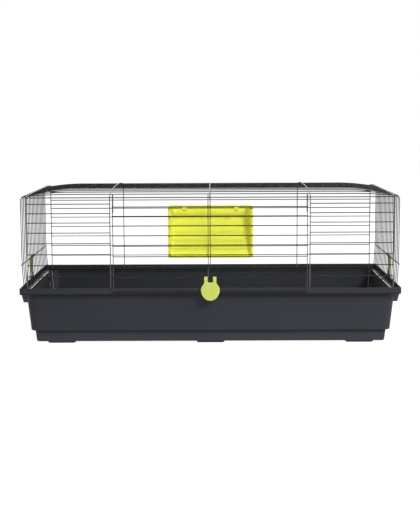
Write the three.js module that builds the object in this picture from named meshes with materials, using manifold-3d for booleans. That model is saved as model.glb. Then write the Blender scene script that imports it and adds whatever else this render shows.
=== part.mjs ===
// Indoor wire cage for a rabbit: a moulded tray, a welded wire top that stands in the tray's rim,
// a front door that hangs from the top's front wire, three plastic snap clips and a hay rack that
// hooks on the back wires. Millimetres, +X along the cage's length, the door faces -Y, +Z up.
import * as THREE from 'three';
import { mergeVertices } from 'three/addons/utils/BufferGeometryUtils.js';
import Module from 'manifold-3d';

const wasm = await Module();
wasm.setup();

// ---- Tray ----
const RIM_HALF_LENGTH = 590;
const RIM_HALF_DEPTH = 290;
const RIM_TOP = 180;
const RIM_CORNER = 9;
const LIP_THICKNESS = 3;
const LEDGE = 163;
const FLANGE_THICKNESS = 3;
const SKIN = 2.5;
const FOOT_HEIGHT = 6;
const FLOOR_TOP = 10;
const STEP_HEIGHT = 42;
const CHAMFER = 3;
const WALL_TOP_INSET = 15;
const WALL_FOOT_INSET = 28;
const BASE_TOP_INSET = 40;
const BASE_FOOT_INSET = 44;
const FOOT_LENGTH = 87;
const FOOT_DEPTH = 38;
const FOOT_SPACING = 468;
const FOOT_OFFSET = 221;
const FOOT_CORNER = 8;
const CORNER_CENTRE_INSET = 53;

// ---- Finger grips at the tray's two ends ----
const GRIP_BOTTOM = 125;
const GRIP_HALF_TOP = 260;
const GRIP_HALF_BOTTOM = 215;
const CATCH_RIB_LENGTH = 50;
const CATCH_RIB_HEIGHT = 3;
const CATCH_RIB_REACH = 1.5;
const CATCH_RIB_ROOT = 1;

// ---- Wire sizes ----
const MESH_WIRE = 1.25;
const FRAME_WIRE = 1.5;
const MESH_SIDES = 6;
const FRAME_SIDES = 8;
const GAP = 0.3;
const WELD = 0.5;

// ---- Wire top ----
const ARCH_HALF_DEPTH = 280.5;
const ARCH_OFFSET = 307.5;
const CENTRE_ARCH_X = -1;
const POST_OFFSET = 565;
const ROOF_CROWN = RIM_TOP + 299;
const ROOF_DROP = 18.5;
const ROOF_EDGE = ROOF_CROWN - ROOF_DROP;
const ROOF_FADE_START = 440;
const ROOF_ROUND_SHARE = 0.25;
const ROOF_SHOULDER_SHARE = 0.75;
const ROOF_END_SHARE = 0.85;
const ROOF_WIRE_COUNT = 15;
const ROOF_WIRE_PITCH = 34.75;
const CORNER_BEND = 8;
const WIRE_REACH = POST_OFFSET + 1;
const SIDE_WIRE_HEIGHTS = [35, 70, 104, 138, 171, 202, 231, 260];
const HINGE_HEIGHT = RIM_TOP + 280;
const WIRE_FOOT = LEDGE + GAP;

// ---- End panels ----
const END_WIRE_COUNT = 19;
const END_WIRE_PITCH = 29.1;
const END_FOOT_X = 579.5;
const END_BOW_X = 583.5;
const END_TOP_X = 568.5;
const END_TOP = RIM_TOP + 284;
const END_BEND = 17;
const END_BOW_FOOT = RIM_TOP + 130;
const END_BOW_PULL = RIM_TOP + 60;
const END_CURVE_FOOT = RIM_TOP + 10;
const CROSS_WIRE_OVERHANG = 10;
const CROSS_WIRE_HEIGHT = RIM_TOP + 70;

// ---- Door ----
const DOOR_HALF_WIDTH = 298;
const DOOR_CENTRE_WIRE_X = -6;
const DOOR_WIRE_HEIGHTS = [-11, 33, 67, 99, 131.5, 163.5, 194, 223.5, 252];
const DOOR_FRONT = 295;
const DOOR_UPRIGHT_Y = DOOR_FRONT - 2 * MESH_WIRE + WELD;
const DOOR_WIRE_OVERHANG = 1.5;
const HOOK_RETURN = 48;

// ---- Clips ----
const CLIP_WIDTH = 58;
const CLIP_PRONG_WIDTH = 10.5;
const CLIP_SLOT_WIDTH = 16.5;
const CLIP_TAIL = 17;
const CLIP_BODY_HEIGHT = 56;
const CLIP_WIDEST = 33;
const CLIP_THICKNESS = 5;
const CLIP_EYE = 3.6;
const CLIP_CLEARANCE = 0.35;
const CLIP_NIB_REACH = 3.2;
const CLIP_NIB_HEIGHT = 3;
const CLIP_NIB_CLEARANCE = 0.6;
const CLIP_SLOT_CORNER = 4;
const CLIP_NECK_FLARE = 2;
const CLIP_NECK_PULL = 10;
const CLIP_CHEEK_PULL = 12;
const CLIP_CHIN_PULL = 18;
const CLIP_CHIN_HALF = 16;
const CLIP_MOUTH_ANGLE = -0.28 * Math.PI;
const CLIP_CROWN_ANGLE = 0.75 * Math.PI;
const CLIP_THROAT_ANGLE = -0.55 * Math.PI;
const CLIP_SHOULDER = 6;
const CLIP_NECK = 3;
const CLIP_TAIL_CURVE = 4;
const CLIP_TAIL_FLARE = 3;
const CLIP_EDGE = 1;
const LATCH_STRAP_OFFSET = 1.7;
const END_CLIP_STRAP_SPACE = 0.5;
const END_CLIP_NIB_SPACE = 0.4;

// ---- Hay rack ----
const RACK_MOUTH = ARCH_HALF_DEPTH + FRAME_WIRE + 2 * GAP;
const RACK_HALF_WIDTH = 151;
const RACK_NARROWING = 0.09;
const RACK_BOTTOM = RIM_TOP + 23;
const RACK_TOP = RIM_TOP + 211;
const RACK_DEPTH = 64;
const RACK_FOOT_DEPTH = 14;
const RACK_TOP_FALL = 7;
const RACK_CORNER = 12;
const RACK_FOOT_CORNER = 6;
const RACK_SKIN = 2.5;
const RACK_FLANGE = 5;
const RACK_FRAME_SIDE = 8;
const RACK_FRAME_TOP = 12;
const RACK_HOOK_OFFSET = 92;
const RACK_HOOK_WIDTH = 14;
const RACK_HOOK_SKIN = 3;
const RACK_HOOK_DROP = 14;
const RACK_HOOK_TIP = 9;
const RACK_HOOK_CLEARANCE = 0.6;
const RACK_HUNG_WIRE = 5;

// ================= Helpers =================

function metal() {
  return new THREE.MeshStandardMaterial({ color: 0x55565a, roughness: 0.38, metalness: 0.85 });
}

function greyPlastic() {
  return new THREE.MeshStandardMaterial({ color: 0x3b3c41, roughness: 0.45, metalness: 0 });
}

function limePlastic() {
  return new THREE.MeshStandardMaterial({ color: 0xd5df52, roughness: 0.35, metalness: 0 });
}

/** A closed three.js geometry as a solid that can be joined and cut. */
function toSolid(geometry) {
  const bare = geometry.clone();
  bare.deleteAttribute('normal');
  bare.deleteAttribute('uv');
  const merged = mergeVertices(bare);
  return new wasm.Manifold(new wasm.Mesh({
    numProp: 3,
    vertProperties: new Float32Array(merged.attributes.position.array),
    triVerts: new Uint32Array(merged.index.array),
  }));
}

/** A joined or cut solid as a three.js geometry. */
function toGeometry(solid) {
  const mesh = solid.getMesh();
  const geometry = new THREE.BufferGeometry();
  geometry.setAttribute('position', new THREE.BufferAttribute(mesh.vertProperties, 3));
  geometry.setIndex(new THREE.BufferAttribute(mesh.triVerts, 1));
  geometry.computeVertexNormals();
  return geometry;
}

function joinAll(geometries) {
  return geometries.map(toSolid).reduce((whole, piece) => whole.add(piece));
}

function part(name, geometry, material) {
  const mesh = new THREE.Mesh(geometry, material);
  mesh.name = name;
  return mesh;
}

/** A path through given corners, whose steps fall on those corners. */
class BentPath extends THREE.Curve {
  constructor(corners) {
    super();
    this.corners = corners;
  }

  getPoint(t, target = new THREE.Vector3()) {
    const place = t * (this.corners.length - 1);
    const index = Math.min(Math.floor(place), this.corners.length - 2);
    return target.copy(this.corners[index]).lerp(this.corners[index + 1], place - index);
  }

  getPointAt(t, target) {
    return this.getPoint(t, target);
  }

  getTangentAt(t, target = new THREE.Vector3()) {
    const corners = this.corners;
    const index = Math.round(t * (corners.length - 1));
    target.set(0, 0, 0);
    if (index > 0) target.add(corners[index].clone().sub(corners[index - 1]).normalize());
    if (index < corners.length - 1) {
      target.add(corners[index + 1].clone().sub(corners[index]).normalize());
    }
    return target.normalize();
  }
}

/** A round wire along a bent path. */
function wire(corners, radius, sides) {
  const section = new THREE.Shape();
  for (let i = 0; i < sides; i += 1) {
    const angle = ((i + 0.5) / sides) * 2 * Math.PI;
    const x = radius * Math.cos(angle);
    const y = radius * Math.sin(angle);
    if (i === 0) section.moveTo(x, y);
    else section.lineTo(x, y);
  }
  section.closePath();
  return new THREE.ExtrudeGeometry(section, {
    steps: corners.length - 1,
    extrudePath: new BentPath(corners),
  });
}

function meshWire(corners) {
  return wire(corners, MESH_WIRE, MESH_SIDES);
}

function frameWire(corners) {
  return wire(corners, FRAME_WIRE, FRAME_SIDES);
}

function vec(x, y, z) {
  return new THREE.Vector3(x, y, z);
}

/** Points on a rounded corner, from start to end, bent towards the corner point. */
function bend(start, corner, end, steps) {
  return new THREE.QuadraticBezierCurve3(start, corner, end).getPoints(steps);
}

/** A rectangle with rounded corners, centred on the origin. */
function roundedRectangle(halfWidth, halfHeight, radius) {
  const shape = new THREE.Shape();
  shape.moveTo(halfWidth, -halfHeight + radius);
  shape.lineTo(halfWidth, halfHeight - radius);
  shape.absarc(halfWidth - radius, halfHeight - radius, radius, 0, Math.PI / 2);
  shape.lineTo(-halfWidth + radius, halfHeight);
  shape.absarc(-halfWidth + radius, halfHeight - radius, radius, Math.PI / 2, Math.PI);
  shape.lineTo(-halfWidth, -halfHeight + radius);
  shape.absarc(-halfWidth + radius, -halfHeight + radius, radius, Math.PI, 1.5 * Math.PI);
  shape.lineTo(halfWidth - radius, -halfHeight);
  shape.absarc(halfWidth - radius, -halfHeight + radius, radius, 1.5 * Math.PI, 2 * Math.PI);
  return shape;
}

/**
 * A solid through rounded rectangles. Each level is its height and its inset from the rim. The
 * corners turn about the same four upright axes at every level, so they tighten as the inset grows.
 */
function trayBlock(centreInset, levels) {
  const radii = levels.map(({ inset }) => centreInset - inset);
  const first = levels[0].inset;
  const outline = roundedRectangle(RIM_HALF_LENGTH - first, RIM_HALF_DEPTH - first, radii[0]);
  const geometry = new THREE.ExtrudeGeometry(outline, {
    steps: levels.length - 1,
    depth: levels.length - 1,
    bevelEnabled: false,
    curveSegments: 6,
  });
  const position = geometry.attributes.position;
  for (let i = 0; i < position.count; i += 1) {
    const step = Math.round(position.getZ(i));
    const centreX = Math.sign(position.getX(i)) * (RIM_HALF_LENGTH - centreInset);
    const centreY = Math.sign(position.getY(i)) * (RIM_HALF_DEPTH - centreInset);
    const scale = radii[step] / radii[0];
    const x = centreX + (position.getX(i) - centreX) * scale;
    const y = centreY + (position.getY(i) - centreY) * scale;
    position.setXYZ(i, x, y, levels[step].z);
  }
  return toSolid(geometry);
}

function box(sizeX, sizeY, sizeZ, x, y, z) {
  return new THREE.BoxGeometry(sizeX, sizeY, sizeZ).translate(x, y, z);
}

function cornered(corners) {
  return new THREE.Shape(corners.map(([y, z]) => new THREE.Vector2(y, z)));
}

/** An outline in the Y-Z plane, made solid from x = start to x = end. */
function alongX(outline, start, end) {
  const geometry = new THREE.ExtrudeGeometry(outline, {
    depth: end - start,
    bevelEnabled: false,
    curveSegments: 5,
  });
  const turn = new THREE.Matrix4().makeBasis(vec(0, 1, 0), vec(0, 0, 1), vec(1, 0, 0));
  return geometry.applyMatrix4(turn).translate(start, 0, 0);
}

// ================= Tray =================

function gripOutline(inset, bottom, top) {
  return cornered([
    [-GRIP_HALF_TOP + inset, top],
    [-GRIP_HALF_BOTTOM + inset, bottom],
    [GRIP_HALF_BOTTOM - inset, bottom],
    [GRIP_HALF_TOP - inset, top],
  ]);
}

/** The right end's grip: a deep skirt below the rim, open underneath for the fingers. */
function grip() {
  const inWall = RIM_HALF_LENGTH - BASE_TOP_INSET;
  const underside = LEDGE - FLANGE_THICKNESS;
  const block = alongX(gripOutline(0, GRIP_BOTTOM, underside + 1), inWall, RIM_HALF_LENGTH);
  const fingerSpace = alongX(
    gripOutline(LIP_THICKNESS, GRIP_BOTTOM - 1, underside),
    inWall - 1,
    RIM_HALF_LENGTH - LIP_THICKNESS,
  );
  return toSolid(block).subtract(toSolid(fingerSpace));
}

/** A small rib on the right grip's outer face, for the end clip's nib to catch under. */
function catchRib() {
  const middle = LEDGE - FLANGE_THICKNESS - CATCH_RIB_HEIGHT / 2;
  const thickness = CATCH_RIB_ROOT + CATCH_RIB_REACH;
  const x = RIM_HALF_LENGTH - CATCH_RIB_ROOT + thickness / 2;
  return toSolid(box(thickness, CATCH_RIB_LENGTH, CATCH_RIB_HEIGHT, x, 0, middle));
}

function tray() {
  const outside = trayBlock(CORNER_CENTRE_INSET, [
    { z: FOOT_HEIGHT, inset: BASE_FOOT_INSET + CHAMFER },
    { z: FOOT_HEIGHT + CHAMFER, inset: BASE_FOOT_INSET },
    { z: STEP_HEIGHT, inset: BASE_TOP_INSET },
    { z: STEP_HEIGHT + 1, inset: WALL_FOOT_INSET },
    { z: LEDGE - FLANGE_THICKNESS, inset: WALL_TOP_INSET },
    { z: LEDGE, inset: WALL_TOP_INSET },
  ]);
  const rim = trayBlock(RIM_CORNER, [
    { z: LEDGE - FLANGE_THICKNESS, inset: 0 },
    { z: RIM_TOP, inset: 0 },
  ]);
  const inside = trayBlock(CORNER_CENTRE_INSET, [
    { z: FLOOR_TOP, inset: BASE_FOOT_INSET + SKIN },
    { z: STEP_HEIGHT + SKIN, inset: BASE_TOP_INSET + SKIN },
    { z: STEP_HEIGHT + SKIN + 1, inset: WALL_FOOT_INSET + SKIN },
    { z: LEDGE + 1, inset: WALL_TOP_INSET + SKIN },
  ]);
  const rimRecess = trayBlock(RIM_CORNER, [
    { z: LEDGE, inset: LIP_THICKNESS },
    { z: RIM_TOP + 1, inset: LIP_THICKNESS },
  ]);
  const rightGrip = toGeometry(grip().add(catchRib()));
  const leftGrip = rightGrip.clone().rotateZ(Math.PI);
  const grips = joinAll([rightGrip, leftGrip]);
  let solid = outside.add(rim).add(grips).subtract(inside).subtract(rimRecess);

  for (const column of [-1, 0, 1]) {
    for (const row of [-1, 1]) {
      const x = column * FOOT_SPACING;
      const y = row * FOOT_OFFSET;
      const foot = new THREE.ExtrudeGeometry(
        roundedRectangle(FOOT_LENGTH / 2, FOOT_DEPTH / 2, FOOT_CORNER),
        { depth: FOOT_HEIGHT + 1, bevelEnabled: false, curveSegments: 3 },
      ).translate(x, y, 0);
      solid = solid.add(toSolid(foot));
    }
  }
  return part('tray', toGeometry(solid), greyPlastic());
}

// ================= Wire top =================

/** Height of the roof's long wires, crowned across the middle and level at the ends. */
function roofHeight(x, y) {
  const across = Math.abs(y) / ARCH_HALF_DEPTH;
  const rounding = ROOF_ROUND_SHARE * across ** 2 + ROOF_SHOULDER_SHARE * across ** 4;
  const along = Math.max(0, Math.abs(x) - ROOF_FADE_START) / (POST_OFFSET - ROOF_FADE_START);
  return ROOF_EDGE + ROOF_DROP * (1 - rounding) * (1 - ROOF_END_SHARE * along ** 2);
}

function roofWireY(index) {
  return (index - (ROOF_WIRE_COUNT - 1) / 2) * ROOF_WIRE_PITCH;
}

/** Centre line of an arch over the roof, just above the long wires. */
function archHeight(x, y) {
  return roofHeight(x, y) + MESH_WIRE + GAP + FRAME_WIRE;
}

function archCorner(x, side) {
  const y = side * ARCH_HALF_DEPTH;
  const inner = y - side * CORNER_BEND;
  const top = archHeight(x, y);
  return bend(vec(x, y, top - CORNER_BEND), vec(x, y, top), vec(x, inner, archHeight(x, inner)), 3);
}

/** The arch's points over the roof: one above each long wire. */
function archRoof(x) {
  const points = [];
  for (let i = 0; i < ROOF_WIRE_COUNT; i += 1) {
    const y = roofWireY(i);
    points.push(vec(x, y, archHeight(x, y)));
  }
  return points;
}

/** One bent wire: up the front, over the roof and down the back. */
function fullArch(name, x) {
  const corners = [
    vec(x, -ARCH_HALF_DEPTH, WIRE_FOOT),
    ...archCorner(x, -1),
    ...archRoof(x),
    ...archCorner(x, 1).reverse(),
    vec(x, ARCH_HALF_DEPTH, WIRE_FOOT),
  ];
  return part(name, frameWire(corners), metal());
}

/** The middle arch stops at the door's hinge wire, so the doorway stays clear. */
function centreArch() {
  const x = CENTRE_ARCH_X;
  const corners = [
    ...archCorner(x, -1),
    ...archRoof(x),
    ...archCorner(x, 1).reverse(),
    vec(x, ARCH_HALF_DEPTH, WIRE_FOOT),
  ];
  return part('centre_arch', frameWire(corners), metal());
}

function longWire(name, y, z, startX, endX, make) {
  return part(name, make([vec(startX, y, z), vec(endX, y, z)]), metal());
}

function twoDigits(number) {
  return String(number).padStart(2, '0');
}

function roofWire(index) {
  const y = roofWireY(index);
  const endSteps = 4;
  const fade = [];
  for (let i = 0; i <= endSteps; i += 1) {
    fade.push(WIRE_REACH - ((WIRE_REACH - ROOF_FADE_START) * i) / endSteps);
  }
  const places = [...fade.map((x) => -x), ...fade.reverse()];
  const points = places.map((x) => vec(x, y, roofHeight(x, y)));
  return part(`roof_wire_${twoDigits(index + 1)}`, meshWire(points), metal());
}

function wireTop() {
  const group = new THREE.Group();
  const wallY = ARCH_HALF_DEPTH - FRAME_WIRE - GAP - MESH_WIRE;
  const footY = ARCH_HALF_DEPTH - FRAME_WIRE - GAP - FRAME_WIRE;
  const ridgeY = ARCH_HALF_DEPTH + FRAME_WIRE + GAP + FRAME_WIRE;
  const reach = WIRE_REACH;

  group.add(fullArch('left_end_arch', -POST_OFFSET));
  group.add(fullArch('left_arch', -ARCH_OFFSET));
  group.add(centreArch());
  group.add(fullArch('right_arch', ARCH_OFFSET));
  group.add(fullArch('right_end_arch', POST_OFFSET));

  group.add(longWire('hinge_wire', -ridgeY, HINGE_HEIGHT, -reach, reach, frameWire));
  group.add(longWire('back_top_wire', ridgeY, HINGE_HEIGHT, -reach, reach, frameWire));
  group.add(longWire('front_foot_wire', -footY, WIRE_FOOT + FRAME_WIRE, -reach, reach, frameWire));
  group.add(longWire('back_foot_wire', footY, WIRE_FOOT + FRAME_WIRE, -reach, reach, frameWire));

  for (let i = 0; i < ROOF_WIRE_COUNT; i += 1) group.add(roofWire(i));

  const archSide = ARCH_OFFSET - FRAME_WIRE;
  SIDE_WIRE_HEIGHTS.forEach((height, i) => {
    const z = RIM_TOP + height;
    const number = i + 1;
    group.add(longWire(`back_wire_${number}`, wallY, z, -reach, reach, meshWire));
    group.add(longWire(`front_left_wire_${number}`, -wallY, z, -reach, -archSide, meshWire));
    group.add(longWire(`front_right_wire_${number}`, -wallY, z, archSide, reach, meshWire));
  });
  return group;
}

// ================= End panels =================

/** One upright of an end panel: bowed outwards, and bent over at the top to meet the roof. */
function endUpright(y) {
  const bowTop = END_TOP - END_BEND;
  const top = vec(END_TOP_X, y, END_TOP);
  const foot = vec(END_FOOT_X, y, WIRE_FOOT);
  const lowerCurve = bend(
    vec(END_BOW_X, y, END_BOW_FOOT),
    vec(END_BOW_X, y, END_BOW_PULL),
    vec(END_FOOT_X, y, END_CURVE_FOOT),
    2,
  );
  const corners = [
    ...bend(top, vec(END_BOW_X, y, END_TOP), vec(END_BOW_X, y, bowTop), 3),
    ...lowerCurve,
    foot,
  ];
  return meshWire(corners);
}

function endPanel(name, side) {
  const halfSpan = ((END_WIRE_COUNT - 1) / 2) * END_WIRE_PITCH;
  const reach = MESH_WIRE + FRAME_WIRE - WELD;
  const wires = [];
  for (let i = 0; i < END_WIRE_COUNT; i += 1) {
    wires.push(endUpright(-halfSpan + i * END_WIRE_PITCH));
  }
  const rails = [
    [END_TOP_X + FRAME_WIRE, END_TOP - reach, halfSpan],
    [END_BOW_X - crossWireBow() + reach, CROSS_WIRE_HEIGHT, halfSpan + CROSS_WIRE_OVERHANG],
    [END_FOOT_X - reach, WIRE_FOOT + FRAME_WIRE, halfSpan],
  ];
  for (const [x, z, half] of rails) {
    wires.push(frameWire([vec(x, -half - MESH_WIRE, z), vec(x, half + MESH_WIRE, z)]));
  }
  const geometry = toGeometry(joinAll(wires));
  if (side < 0) geometry.rotateZ(Math.PI);
  return part(name, geometry, metal());
}

/** How far the uprights have come in from their bow at the cross wire's height. */
function crossWireBow() {
  const middle = (END_BOW_FOOT + 2 * END_BOW_PULL + END_CURVE_FOOT) / 4;
  const middleBow = (END_BOW_X - END_FOOT_X) / 4;
  const share = (END_BOW_FOOT - CROSS_WIRE_HEIGHT) / (END_BOW_FOOT - middle);
  return middleBow * share;
}

function crossWireX() {
  return END_BOW_X - crossWireBow() + MESH_WIRE + FRAME_WIRE - WELD;
}

// ================= Door =================

function doorUpright(x) {
  const foot = RIM_TOP + DOOR_WIRE_HEIGHTS[0] - MESH_WIRE;
  return meshWire([vec(x, -DOOR_UPRIGHT_Y, foot), vec(x, -DOOR_UPRIGHT_Y, HINGE_HEIGHT - GAP)]);
}

/** The top of an upright: it turns over the hinge wire and runs back down behind it. */
function doorHook(name, x) {
  const hingeY = ARCH_HALF_DEPTH + 2 * FRAME_WIRE + GAP;
  const hookRadius = DOOR_UPRIGHT_Y - hingeY;
  const corners = [];
  const steps = 8;
  for (let i = 0; i <= steps; i += 1) {
    const angle = Math.PI - (Math.PI * i) / steps;
    const y = -hingeY + hookRadius * Math.cos(angle);
    const z = HINGE_HEIGHT + hookRadius * Math.sin(angle);
    corners.push(vec(x, y, z));
  }
  corners.push(vec(x, -hingeY + hookRadius, HINGE_HEIGHT - HOOK_RETURN));
  return part(name, meshWire(corners), metal());
}

function door() {
  const wires = [-DOOR_HALF_WIDTH, DOOR_CENTRE_WIRE_X, DOOR_HALF_WIDTH].map(doorUpright);
  const reach = DOOR_HALF_WIDTH + DOOR_WIRE_OVERHANG;
  for (const height of DOOR_WIRE_HEIGHTS) {
    const z = RIM_TOP + height;
    wires.push(meshWire([vec(-reach, -DOOR_FRONT, z), vec(reach, -DOOR_FRONT, z)]));
  }
  return part('door', toGeometry(joinAll(wires)), metal());
}

// ================= Clips =================

/** Front outline of a clip: two prongs, a slot between them and a round body. */
function clipFace(prongTop, tail) {
  const prongOuter = CLIP_SLOT_WIDTH / 2 + CLIP_PRONG_WIDTH;
  const half = CLIP_WIDTH / 2;
  const slotHalf = CLIP_SLOT_WIDTH / 2;
  const bodyTop = tail + CLIP_BODY_HEIGHT;
  const widest = tail + CLIP_WIDEST;
  const neck = bodyTop - CLIP_NECK_PULL;
  const cheek = widest + CLIP_CHEEK_PULL;
  const chin = widest - CLIP_CHIN_PULL;
  const flare = prongOuter + CLIP_NECK_FLARE;
  const corner = CLIP_SLOT_CORNER;
  const face = new THREE.Shape();
  face.moveTo(-slotHalf, prongTop);
  face.lineTo(-slotHalf, bodyTop + corner);
  face.quadraticCurveTo(-slotHalf, bodyTop, -slotHalf + corner, bodyTop);
  face.lineTo(slotHalf - corner, bodyTop);
  face.quadraticCurveTo(slotHalf, bodyTop, slotHalf, bodyTop + corner);
  face.lineTo(slotHalf, prongTop);
  face.lineTo(prongOuter, prongTop);
  face.lineTo(prongOuter, bodyTop);
  face.bezierCurveTo(flare, neck, half, cheek, half, widest);
  face.bezierCurveTo(half, chin, CLIP_CHIN_HALF, tail, 0, tail);
  face.bezierCurveTo(-CLIP_CHIN_HALF, tail, -half, chin, -half, widest);
  face.bezierCurveTo(-half, cheek, -flare, neck, -prongOuter, bodyTop);
  face.lineTo(-prongOuter, prongTop);
  face.closePath();
  return face;
}

/** Side outline of a clip about its pivot wire: an open eye, a strap, a nib and a thumb tail. */
function clipSide(pivotRadius, strapOffset, nibTop, nibInner, tail) {
  const bore = pivotRadius + CLIP_CLEARANCE;
  const outer = strapOffset + CLIP_THICKNESS;
  const nibFoot = nibTop - CLIP_NIB_HEIGHT;
  const throat = vec(bore * Math.cos(CLIP_THROAT_ANGLE), bore * Math.sin(CLIP_THROAT_ANGLE));
  const side = new THREE.Shape();
  side.absarc(0, 0, CLIP_EYE, CLIP_MOUTH_ANGLE, CLIP_CROWN_ANGLE, false);
  side.lineTo(-outer + CLIP_EDGE, -CLIP_EDGE);
  side.lineTo(-outer, -CLIP_SHOULDER);
  side.lineTo(-outer, nibTop - 2 * CLIP_EDGE);
  side.quadraticCurveTo(-outer, tail + CLIP_TAIL_CURVE, -outer - CLIP_TAIL_FLARE, tail);
  side.lineTo(-outer, tail);
  side.quadraticCurveTo(-strapOffset, tail + CLIP_TAIL_CURVE, -strapOffset, nibFoot - CLIP_NECK);
  side.lineTo(-nibInner, nibFoot + CLIP_EDGE);
  side.lineTo(-nibInner, nibTop);
  side.lineTo(-strapOffset, nibTop);
  side.lineTo(-strapOffset, -CLIP_EYE - CLIP_NECK);
  side.lineTo(-bore / 2, -CLIP_EYE);
  side.lineTo(throat.x, throat.y);
  side.absarc(0, 0, bore, CLIP_THROAT_ANGLE, CLIP_MOUTH_ANGLE, true);
  side.closePath();
  return side;
}

/**
 * A clip that turns on a wire through its eye. Local frame: the wire runs along X through the
 * origin, the clip's face looks towards -Y.
 */
function clipGeometry({ pivotRadius, strapOffset, nibTop, nibInner, tail }) {
  const faceBlock = new THREE.ExtrudeGeometry(clipFace(CLIP_EYE, tail), {
    depth: CLIP_WIDTH,
    bevelEnabled: false,
    curveSegments: 6,
  }).rotateX(Math.PI / 2).translate(0, CLIP_WIDTH / 2, 0);
  const side = clipSide(pivotRadius, strapOffset, nibTop, nibInner, tail);
  const reach = CLIP_WIDTH / 2 + 1;
  const sideBlock = alongX(side, -reach, reach);
  return toGeometry(toSolid(faceBlock).intersect(toSolid(sideBlock)));
}

function frontLatch() {
  const pivotZ = RIM_TOP + DOOR_WIRE_HEIGHTS[1];
  const underRim = LEDGE - FLANGE_THICKNESS - pivotZ;
  const geometry = clipGeometry({
    pivotRadius: MESH_WIRE,
    strapOffset: LATCH_STRAP_OFFSET,
    nibTop: underRim - CLIP_NIB_CLEARANCE,
    nibInner: RIM_HALF_DEPTH - DOOR_FRONT - CLIP_NIB_REACH,
    tail: underRim - CLIP_TAIL,
  });
  const latch = part('front_latch', geometry, limePlastic());
  latch.position.set(0, -DOOR_FRONT, pivotZ);
  return latch;
}

function endClip(name, side) {
  const underRib = LEDGE - FLANGE_THICKNESS - CATCH_RIB_HEIGHT - CROSS_WIRE_HEIGHT;
  const catchX = RIM_HALF_LENGTH - crossWireX();
  const geometry = clipGeometry({
    pivotRadius: FRAME_WIRE,
    strapOffset: catchX + CATCH_RIB_REACH + END_CLIP_STRAP_SPACE,
    nibTop: underRib - CLIP_NIB_CLEARANCE,
    nibInner: catchX + END_CLIP_NIB_SPACE,
    tail: underRib - CLIP_TAIL,
  });
  const clip = part(name, geometry, limePlastic());
  clip.rotation.z = (side * Math.PI) / 2;
  clip.position.set(side * crossWireX(), 0, CROSS_WIRE_HEIGHT);
  return clip;
}

// ================= Hay rack =================

/** The rack's outline, seen from the front, with round corners at its top. */
function rackOutline(inset, top) {
  const half = RACK_HALF_WIDTH - inset;
  const bottom = RACK_BOTTOM + inset;
  const foot = RACK_FOOT_CORNER;
  const shape = new THREE.Shape();
  shape.moveTo(-half, bottom + foot);
  shape.quadraticCurveTo(-half, bottom, -half + foot, bottom);
  shape.lineTo(half - foot, bottom);
  shape.quadraticCurveTo(half, bottom, half, bottom + foot);
  shape.lineTo(half, top - RACK_CORNER);
  shape.quadraticCurveTo(half, top, half - RACK_CORNER, top);
  shape.lineTo(-half + RACK_CORNER, top);
  shape.quadraticCurveTo(-half, top, -half, top - RACK_CORNER);
  return shape;
}

/** A wedge behind the outline: its outer wall leans away from the wires towards the top. */
function rackWedge(inset, top, start, skin) {
  const geometry = new THREE.ExtrudeGeometry(rackOutline(inset, top), {
    depth: 1,
    bevelEnabled: false,
    curveSegments: 5,
  });
  const position = geometry.attributes.position;
  for (let i = 0; i < position.count; i += 1) {
    const share = position.getZ(i);
    const height = position.getY(i);
    const rise = (height - RACK_BOTTOM) / (RACK_TOP - RACK_BOTTOM);
    const depth = RACK_FOOT_DEPTH + (RACK_DEPTH - RACK_FOOT_DEPTH) * rise;
    const narrowed = 1 - (RACK_NARROWING * share * depth) / RACK_DEPTH;
    const y = start + (RACK_MOUTH + depth - skin - start) * share;
    const z = height - RACK_TOP_FALL * share * rise;
    position.setXYZ(i, position.getX(i) * narrowed, y, z);
  }
  return toSolid(flipped(geometry));
}

/** Turns every triangle over, for a geometry that a swap of axes has mirrored. */
function flipped(geometry) {
  const position = geometry.attributes.position;
  for (let i = 0; i < position.count; i += 3) {
    const second = vec().fromBufferAttribute(position, i + 1);
    const third = vec().fromBufferAttribute(position, i + 2);
    position.setXYZ(i + 1, third.x, third.y, third.z);
    position.setXYZ(i + 2, second.x, second.y, second.z);
  }
  return geometry;
}

/** The frame round the rack's mouth, which lies against the back wires. */
function rackFrame() {
  const plate = new THREE.ExtrudeGeometry(rackOutline(0, RACK_TOP), {
    depth: RACK_SKIN,
    bevelEnabled: false,
    curveSegments: 5,
  }).rotateX(Math.PI / 2).translate(0, RACK_MOUTH + RACK_SKIN, 0);
  const openWidth = 2 * (RACK_HALF_WIDTH - RACK_FRAME_SIDE);
  const openBottom = RACK_BOTTOM + RACK_FRAME_SIDE;
  const openTop = RACK_TOP - RACK_FRAME_TOP;
  const openMiddle = (openTop + openBottom) / 2;
  const openHeight = openTop - openBottom;
  const opening = box(openWidth, 4 * RACK_SKIN, openHeight, 0, RACK_MOUTH, openMiddle);
  return toSolid(plate).subtract(toSolid(opening));
}

/** A hook on the rack's frame, over one of the back wires. */
function rackHook(side) {
  const wireY = ARCH_HALF_DEPTH - FRAME_WIRE - GAP - MESH_WIRE;
  const seat = RIM_TOP + SIDE_WIRE_HEIGHTS[RACK_HUNG_WIRE] + MESH_WIRE + RACK_HOOK_CLEARANCE;
  const outside = wireY + MESH_WIRE + RACK_HOOK_CLEARANCE;
  const inside = wireY - MESH_WIRE - RACK_HOOK_CLEARANCE;
  const root = RACK_MOUTH + 1;
  const outline = cornered([
    [root, seat - RACK_HOOK_DROP],
    [root, seat + RACK_HOOK_SKIN],
    [inside - RACK_HOOK_SKIN, seat + RACK_HOOK_SKIN],
    [inside - RACK_HOOK_SKIN, seat - RACK_HOOK_TIP],
    [inside, seat - RACK_HOOK_TIP],
    [inside, seat],
    [outside, seat],
    [outside, seat - RACK_HOOK_DROP],
  ]);
  const start = side * RACK_HOOK_OFFSET - RACK_HOOK_WIDTH / 2;
  return toSolid(alongX(outline, start, start + RACK_HOOK_WIDTH));
}

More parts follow.
